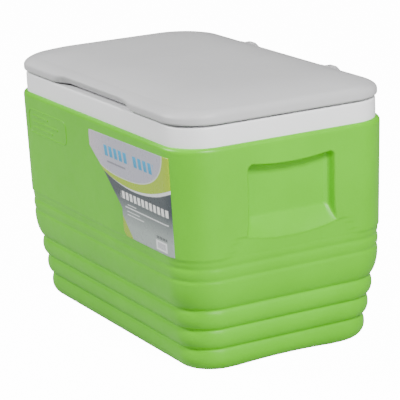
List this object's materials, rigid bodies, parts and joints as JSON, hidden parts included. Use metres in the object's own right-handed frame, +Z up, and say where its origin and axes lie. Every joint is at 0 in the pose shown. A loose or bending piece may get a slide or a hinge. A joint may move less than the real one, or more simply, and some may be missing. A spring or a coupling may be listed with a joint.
{
  "type": "insulated cooler chest",
  "caption": "Hard-sided insulated cooler chest with a ribbed tapering shell, a white liner, moulded hand-holds at both ends and a rear-hinged domed lid.",
  "frame": {"origin": "middle of the flat base, on the surface the chest stands on", "axes": "+X along the length to the right-hand end, the front with the label looks to -Y, +Z up; the lid's hinges are at the back, towards +Y"},
  "size_m": [0.54, 0.3491, 0.3835],
  "materials": {
    "shell_green": "moulded lime-green polyethylene, satin gloss",
    "lid_grey": "moulded light grey plastic, fine matt texture",
    "hinge_grey": "moulded light grey plastic",
    "liner_white": "white food-grade liner plastic, satin",
    "foam": "rigid polyurethane foam, open-celled at the skin",
    "label_print": "printed and laminated film",
    "steel": "zinc-plated steel"
  },
  "bodies": {
    "chest": {"outer_shell": "shell_green", "liner": "liner_white", "body_foam": "foam", "fill_plug_left": "shell_green", "fill_plug_right": "shell_green", "label": "label_print", "hinge_bracket_left": "hinge_grey", "hinge_bracket_right": "hinge_grey", "bracket_screws_left": "steel", "bracket_screws_right": "steel", "hinge_pin_left": "steel", "hinge_pin_right": "steel"},
    "lid": {"lid_cover": "lid_grey", "lid_liner": "liner_white", "lid_foam": "foam", "lid_hinge_left": "hinge_grey", "lid_hinge_right": "hinge_grey", "lid_hinge_screws_left": "steel", "lid_hinge_screws_right": "steel", "lid_fill_plug": "liner_white"}
  },
  "joints": [
    {"name": "lid_hinge", "type": "hinge", "parent": "chest", "child": "lid", "pos_m": [0, 0.173, 0.355], "axis": [-1, 0, 0], "range_deg": [0, 100]}
  ]
}
